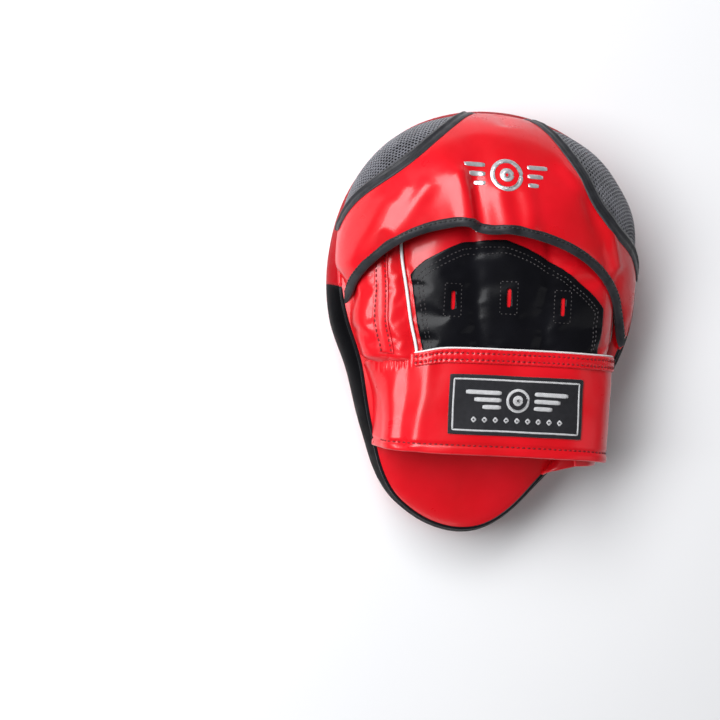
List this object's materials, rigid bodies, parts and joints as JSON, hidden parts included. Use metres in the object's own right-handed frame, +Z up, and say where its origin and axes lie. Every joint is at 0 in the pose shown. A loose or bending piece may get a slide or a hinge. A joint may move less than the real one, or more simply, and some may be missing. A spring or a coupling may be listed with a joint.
{
  "type": "focus mitt",
  "caption": "Curved boxing focus mitt with a finger pocket, thumb pocket, mesh-sided hood and a hook-and-loop wrist strap.",
  "frame": {"origin": "on the resting surface under the middle of the pad, which lies on its striking face", "axes": "+Z up out of the glove side, +Y towards the fingertips, +X towards the little finger, thumb at -X"},
  "size_m": [0.189, 0.2588, 0.099],
  "materials": {
    "red_leather": "glossy synthetic leather",
    "black_leather": "glossy synthetic leather",
    "red_lining": "matte woven lining",
    "black_lining": "matte woven lining",
    "black_binding": "satin ribbed tape",
    "airmesh": "open spacer mesh",
    "white_piping": "satin",
    "label_weave": "woven, silver border",
    "soft_foam": "open-cell foam",
    "firm_foam": "closed-cell foam",
    "board": "matte sheet",
    "hook_loop": "hook and loop tape"
  },
  "bodies": {
    "pad": {"face_cover": "red_leather", "face_foam": "soft_foam", "core_foam": "firm_foam", "backing_board": "board", "back_foam": "soft_foam", "back_cover": "red_leather", "gusset_upper": "red_leather", "gusset_lower": "black_leather", "welt_upper": "red_leather", "welt_lower": "black_leather", "thumb_shell": "red_leather", "thumb_seam_tape": "red_leather", "thumb_divider": "red_lining", "piping_thumb": "white_piping", "finger_cover": "red_leather", "finger_lining": "red_lining", "finger_patch": "black_leather", "piping_crease": "white_piping", "piping_side": "white_piping", "palm_grip": "soft_foam", "palm_cover": "red_lining", "hood_panel": "red_leather", "hood_lining": "black_lining", "mesh_left": "airmesh", "mesh_right": "airmesh", "hood_edge_binding": "black_binding", "mesh_binding_left": "black_binding", "mesh_binding_right": "black_binding", "cuff_base": "red_leather"},
    "strap": {"strap_outer": "red_leather", "strap_lining": "red_lining", "strap_edge_strip": "red_leather", "strap_edge_tape": "white_piping", "label_patch": "label_weave", "hook_tape": "hook_loop"},
    "flap": {"flap": "red_leather", "loop_tape": "hook_loop"}
  },
  "joints": [
    {"name": "strap_open", "type": "hinge", "parent": "pad", "child": "strap", "pos_m": [-0.046, -0.048, 0.0806], "axis": [0, -1, 0], "range_deg": [0, 120]},
    {"name": "flap_swing", "type": "hinge", "parent": "pad", "child": "flap", "pos_m": [0.07105, -0.0538, 0.047], "axis": [0.4663, 0.8842, 0.0285], "range_deg": [0, 40]}
  ],
  "couplings": [
    {"joint": "flap_swing", "follows": "strap_open", "ratio": 0.33}
  ]
}
